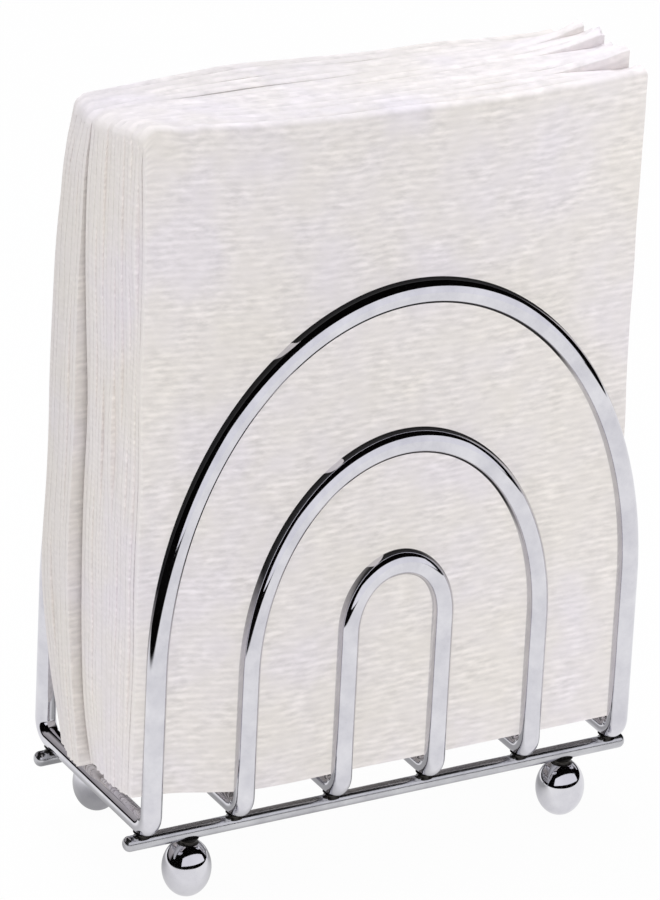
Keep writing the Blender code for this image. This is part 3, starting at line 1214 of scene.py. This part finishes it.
    def build(self, tissue: bpy.types.Material) -> bpy.types.Object:
        """Makes the sheet and puts it in the place of its node.

        The point at path step i and section step k is the middle line's point plus the section's offset
        times the path's normal, with the fold over the top pressed flatter than a circle.

        Args:
            tissue: the finish.

        Returns:
            The new piece.
        """
        angle, level, length = self.climb()
        front = (1 + np.cos(angle[:, None])) / 2
        (near, off_near, sheet_x), (far, off_far, _) = self.hairpin(self.front_square), self.hairpin(self.square)
        off = front * off_near + (1 - front) * off_far
        squareness = np.where(angle < np.pi / 2, self.front_square, self.square)
        reach = (self.bend + off) * self.press(angle, squareness)[:, None]
        y = (self.low.y + self.high.y) / 2 - reach * np.cos(angle)[:, None]
        z = level[:, None] + reach * np.sin(angle)[:, None]
        x = self.low.x + front * near + (1 - front) * far
        points = np.stack([x, y, z], axis=2).reshape(-1, 3)
        facing = np.broadcast_to(np.where(angle < np.pi / 2, -1.0, 1.0)[:, None], y.shape).ravel()
        leaf_side = np.where(off > 0, -1.0, 1.0).ravel()
        points = self.stray(points, leaf_side, facing)
        rows, columns = y.shape
        step = np.arange(columns // 2 - 1)
        mate = columns - 1 - step
        first = np.stack([step, step + 1, mate - 1, mate], axis=1)
        last = (rows - 1) * columns + first[:, ::-1]
        quads = grid_quads(rows, columns, wrap_columns=True)
        # Each napkin is cut from another part of the roll.
        cut = self.draw.uniform(0.0, self.roll, 2)
        uv = np.stack(np.broadcast_arrays(sheet_x[None, :] + cut[0], length[:, None] + cut[1]), axis=2).reshape(-1, 2)
        piece = add_piece(f"{self.node}_sheet", points, [quads, first, last], uv=uv)
        dress(piece, tissue, self.node, self.node)
        return piece


@dataclass
class NapkinStack:
    """All the napkins, in their two groups."""

    groups: tuple[Group, ...] = (FRONT_GROUP, REAR_GROUP)
    open_grid: tuple[int, int] = (90, 120)  # columns and rows of the front napkin, whose whole face is seen
    plain_grid: tuple[int, int] = (40, 44)

    def build(self, tissue: bpy.types.Material) -> list[bpy.types.Object]:
        """Builds every napkin.

        Args:
            tissue: the finish of all of them.

        Returns:
            The new pieces.
        """
        pieces = []
        for group in self.groups:
            for number in range(group.first, group.last + 1):
                columns, rows = self.open_grid if number == 1 else self.plain_grid
                napkin = FoldedNapkin(number, group, columns, rows, FRONT_SQUARE.get(number, PRESSED))
                pieces.append(napkin.build(tissue))
        return pieces


# ---------------------------------------------------------------- assembly


def dress(
    piece: bpy.types.Object, material: bpy.types.Material, body: str, node: str | None = None
) -> bpy.types.Object:
    """Gives a piece its finish, its body and the node that it stands for.

    Args:
        piece: the piece.
        material: its finish.
        body: the body that it moves with.
        node: the node that it replaces, if any.

    Returns:
        The piece.
    """
    piece.data.materials.append(material)
    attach(piece, body)
    if node:
        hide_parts(node)
    LOG.info("%s: %d faces, on %s", piece.name, len(piece.data.polygons), body)
    return piece


@dataclass(frozen=True)
class Softbox:
    """A square soft lamp that faces the stack and that mirrors don't see."""

    name: str
    place: tuple[float, float, float]
    size: float  # its side, in metres
    power: float  # watts
    tone: str
    aim: tuple[float, float, float] = (0.0, 0.0, 0.12)  # the stack's middle

    def hang(self) -> bpy.types.Object:
        """Hangs the lamp in its place, turned to its aim.

        Returns:
            The lamp.
        """
        light = bpy.data.lights.new(self.name, "AREA")
        light.size, light.energy, light.color = self.size, self.power, linear(self.tone)[:3]
        lamp = bpy.data.objects.new(self.name, light)
        bpy.context.scene.collection.objects.link(lamp)
        lamp.location = self.place
        lamp.rotation_euler = (Vector(self.place) - Vector(self.aim)).to_track_quat("Z", "Y").to_euler()
        lamp.visible_glossy = False
        return lamp


@dataclass(frozen=True)
class Studio:
    """A white table and plain soft light, and the room that the chrome mirrors.

    The table's mirror image carries a painted shadow under the stack. Beyond the table the mirrored room is dark,
    apart from a white card in front and a grey wall behind on the left.
    """

    table_size: float = 6.0
    table_tone: str = "F4F4F4"
    table_rough: float = 0.9
    glow_share: float = 0.96  # how much of the table's white doesn't depend on shadow
    bounce_share: float = 0.65  # and the same for the light that it sends up
    ambient_power: float = 0.64
    lamps: tuple[Softbox, ...] = (
        Softbox(name="overhead softbox", place=(-0.1, 0.35, 1.5), size=0.7, power=10.2, tone="F6F6FF"),
        Softbox(name="front softbox", place=(-0.8, -1.4, 0.2), size=1.2, power=7.0, tone="FFFCF9"),
    )

    mirrored_table: str = "FCFCFD"
    mirrored_beyond: str = "060505"
    left_edge: tuple[float, float] = (-0.985, 0.17)  # the way to the white table's left edge
    left_span: tuple[float, float] = (0.24, 0.27)  # metres from the middle, over which the white ends there
    far_span: tuple[float, float] = (2.7, 3.0)  # and the same for its far end
    right_reach: float = 1.0  # metres from the middle, where it ends on the right
    footprint: tuple[float, float] = (0.105, 0.050)  # half the area that the stack shades
    footprint_middle: tuple[float, float] = (-0.012, 0.018)
    shade_span: tuple[float, float] = (0.6, 1.35)  # of that half, from the full shade to none
    shaded: float = 0.42  # how bright the table's mirror image is in the full shade

    card_low: tuple[float, float] = (-0.48, 0.075)  # the card's lower left corner, across and up
    card_high: tuple[float, float] = (0.78, 0.375)
    card_depth: float = -0.36
    card_tone: str = "F6F6FC"
    room_tone: str = "040303"
    wall_heading: tuple[float, float] = (-0.5, 0.866)  # the way to the grey wall behind on the left
    wall_span: tuple[float, float] = (0.80, 0.90)  # of the cosine off that way, from the dark room to the wall
    wall_levels: tuple[tuple[float, str], ...] = (  # the sine of the height angle, and the tone there
        (0.07, "040303"), (0.10, "9A9698"), (0.50, "B8B4B6"), (0.62, "040303"),
    )

    def table_image(self, tree: bpy.types.NodeTree) -> bpy.types.NodeSocket:
        """The colour that mirrors show the table in.

        It is white inside a long oval that a straight edge cuts off on the left, and a painted shadow makes it darker
        in a soft oval under the stack.

        Args:
            tree: the table's node tree.

        Returns:
            The colour.
        """
        place = add_node(tree, "ShaderNodeTexCoord").outputs["Object"]
        leftwards = add_node(
            tree, "ShaderNodeVectorMath", {"operation": "DOT_PRODUCT"}, in_0=place, in_1=(*self.left_edge, 0.0)
        ).outputs["Value"]
        oval = add_node(
            tree, "ShaderNodeVectorMath", {"operation": "MULTIPLY"}, in_0=place,
            in_1=(self.far_span[0] / self.right_reach, 1.0, 1.0),
        ).outputs["Vector"]
        outwards = add_node(tree, "ShaderNodeVectorMath", {"operation": "LENGTH"}, in_0=oval).outputs["Value"]
        # The painted shadow under the stack, by the distance from its middle.
        beneath = add_node(
            tree, "ShaderNodeVectorMath", {"operation": "SUBTRACT"}, in_0=place, in_1=(*self.footprint_middle, 0.0)
        ).outputs["Vector"]
        beneath = add_node(
            tree, "ShaderNodeVectorMath", {"operation": "DIVIDE"}, in_0=beneath, in_1=(*self.footprint, 1.0)
        ).outputs["Vector"]
        beneath = add_node(tree, "ShaderNodeVectorMath", {"operation": "LENGTH"}, in_0=beneath).outputs["Value"]
        bright = 1.0
        for reach, span, shares in (
            (leftwards, self.left_span, (1.0, 0.0)),
            (outwards, self.far_span, (1.0, 0.0)),
            (beneath, self.shade_span, (self.shaded, 1.0)),
        ):
            share = add_node(
                tree, "ShaderNodeMapRange", Value=reach, From_Min=span[0], From_Max=span[1], To_Min=shares[0],
                To_Max=shares[1],
            ).outputs["Result"]
            bright = add_node(
                tree, "ShaderNodeMath", {"operation": "MULTIPLY"}, in_0=bright, in_1=share
            ).outputs["Value"]
        return add_node(
            tree, "ShaderNodeMix", {"data_type": "RGBA"}, in_0=bright, in_6=linear(self.mirrored_beyond),
            in_7=linear(self.mirrored_table),
        ).outputs[2]

    def floor(self) -> bpy.types.Object:
        """Lays the pale table that the holder stands on.

        Returns:
            The table.
        """
        half = self.table_size / 2
        points = np.array([[-half, -half, 0.0], [half, -half, 0.0], [half, half, 0.0], [-half, half, 0.0]])
        table = add_piece("table", points, [np.array([[0, 1, 2, 3]])])
        material, tree, shader = new_material("white matt table")
        shader.inputs["Base Color"].default_value = linear(self.table_tone)
        shader.inputs["Roughness"].default_value = self.table_rough
        rays = add_node(tree, "ShaderNodeLightPath").outputs
        glow = add_node(tree, "ShaderNodeEmission", Color=linear("FFFFFF"), Strength=1.0).outputs["Emission"]
        seen = add_node(
            tree, "ShaderNodeMapRange", Value=rays["Is Camera Ray"], To_Min=self.bounce_share, To_Max=self.glow_share
        ).outputs["Result"]
        lit = add_node(
            tree, "ShaderNodeMixShader", in_0=seen, in_1=shader.outputs["BSDF"], in_2=glow
        ).outputs["Shader"]
        image = add_node(tree, "ShaderNodeEmission", Color=self.table_image(tree), Strength=1.0).outputs["Emission"]
        mixed = add_node(
            tree, "ShaderNodeMixShader", in_0=first_mirror(tree), in_1=lit, in_2=image
        ).outputs["Shader"]
        tree.links.new(mixed, tree.nodes["Material Output"].inputs["Surface"])
        table.data.materials.append(material)
        return table

    def card(self) -> bpy.types.Object:
        """Hangs the white card that only mirrors see.

        Returns:
            The card.
        """
        (left, low), (right, high) = self.card_low, self.card_high
        depth = self.card_depth
        points = np.array([[left, depth, low], [right, depth, low], [right, depth, high], [left, depth, high]])
        card = add_piece("reflector_card", points, [np.array([[0, 1, 2, 3]])])
        material, tree, _ = new_material("white reflector card")
        glow = add_node(tree, "ShaderNodeEmission", Color=linear(self.card_tone), Strength=1.0).outputs["Emission"]
        tree.links.new(glow, tree.nodes["Material Output"].inputs["Surface"])
        card.data.materials.append(material)
        card.visible_camera = card.visible_diffuse = card.visible_shadow = False
        return card

    def world(self) -> None:
        """Sets the plain light from all round, and the dark room with its grey wall that mirrors see."""
        world = bpy.data.worlds.new("studio")
        bpy.context.scene.world = world
        world.use_nodes = True
        tree = world.node_tree
        tree.nodes.clear()
        rays = add_node(tree, "ShaderNodeLightPath").outputs
        heading = add_node(tree, "ShaderNodeTexCoord").outputs["Generated"]
        parts = add_node(tree, "ShaderNodeSeparateXYZ", Vector=heading).outputs
        flat = add_node(tree, "ShaderNodeVectorMath", {"operation": "MULTIPLY"}, in_0=heading, in_1=(1.0, 1.0, 0.0))
        level = add_node(tree, "ShaderNodeVectorMath", {"operation": "NORMALIZE"}, in_0=flat.outputs["Vector"])
        towards = add_node(
            tree, "ShaderNodeVectorMath", {"operation": "DOT_PRODUCT"}, in_0=level.outputs["Vector"],
            in_1=(*self.wall_heading, 0.0),
        ).outputs["Value"]
        sector = add_node(
            tree, "ShaderNodeMapRange", Value=towards, From_Min=self.wall_span[0], From_Max=self.wall_span[1]
        ).outputs["Result"]
        wall = add_node(tree, "ShaderNodeValToRGB", Fac=parts["Z"])
        set_stops(wall, list(self.wall_levels))
        room = add_node(
            tree, "ShaderNodeMix", {"data_type": "RGBA"}, in_0=sector, in_6=linear(self.room_tone),
            in_7=wall.outputs["Color"],
        ).outputs[2]
        white = linear("FFFFFF")
        ambient, mirrored, background = [
            add_node(tree, "ShaderNodeBackground", Color=colour, Strength=strength).outputs["Background"]
            for colour, strength in ((white, self.ambient_power), (room, 1.0), (white, 1.0))
        ]
        first = add_node(
            tree, "ShaderNodeMixShader", in_0=first_mirror(tree), in_1=ambient, in_2=mirrored
        ).outputs["Shader"]
        second = add_node(
            tree, "ShaderNodeMixShader", in_0=rays["Is Camera Ray"], in_1=first, in_2=background
        ).outputs["Shader"]
        add_node(tree, "ShaderNodeOutputWorld", Surface=second)

    def build(self) -> None:
        """Lays the table and lights the scene."""
        self.floor()
        self.card()
        self.world()
        for lamp in self.lamps:
            lamp.hang()


@dataclass(frozen=True)
class Camera:
    """A long lens from the front left, a little above the stack and rolled slightly."""

    azimuth: float = -29.63  # degrees
    elevation: float = 24.98
    roll: float = 2.86
    distance: float = 2.1346
    aim: tuple[float, float, float] = (0.01602, 0.03388, 0.10463)
    lens: float = 280.0  # millimetres
    sensor: float = 36.0  # millimetres

    def build(self) -> bpy.types.Object:
        """Places the camera: back along the line of sight from the aim, then rolled about it.

        Returns:
            The camera.
        """
        turn, lift, roll = (math.radians(angle) for angle in (self.azimuth, self.elevation, self.roll))
        back = Vector((math.sin(turn) * math.cos(lift), -math.cos(turn) * math.cos(lift), math.sin(lift)))
        right = Vector((math.cos(turn), math.sin(turn), 0.0))
        above = back.cross(right)
        side = math.cos(roll) * right + math.sin(roll) * above
        top = math.cos(roll) * above - math.sin(roll) * right
        lens = bpy.data.cameras.new("camera")
        lens.lens, lens.sensor_width, lens.sensor_fit = self.lens, self.sensor, "AUTO"
        camera = bpy.data.objects.new("camera", lens)
        bpy.context.scene.collection.objects.link(camera)
        axes = Matrix((side, top, back)).transposed().to_4x4()
        camera.matrix_world = Matrix.Translation(Vector(self.aim) + self.distance * back) @ axes
        bpy.context.scene.camera = camera
        return camera


def main() -> None:
    """Builds the camera, the studio, the holder and the napkins."""
    logging.basicConfig(level=logging.INFO, format="%(message)s")
    bpy.context.scene.view_settings.view_transform = "Standard"
    Camera().build()
    Studio().build()
    metal = Holder().build()
    paper = NapkinStack().build(EmbossedTissue().make())
    LOG.info("%d metal pieces and %d napkins", len(metal), len(paper))


if __name__ == "__main__":
    main()
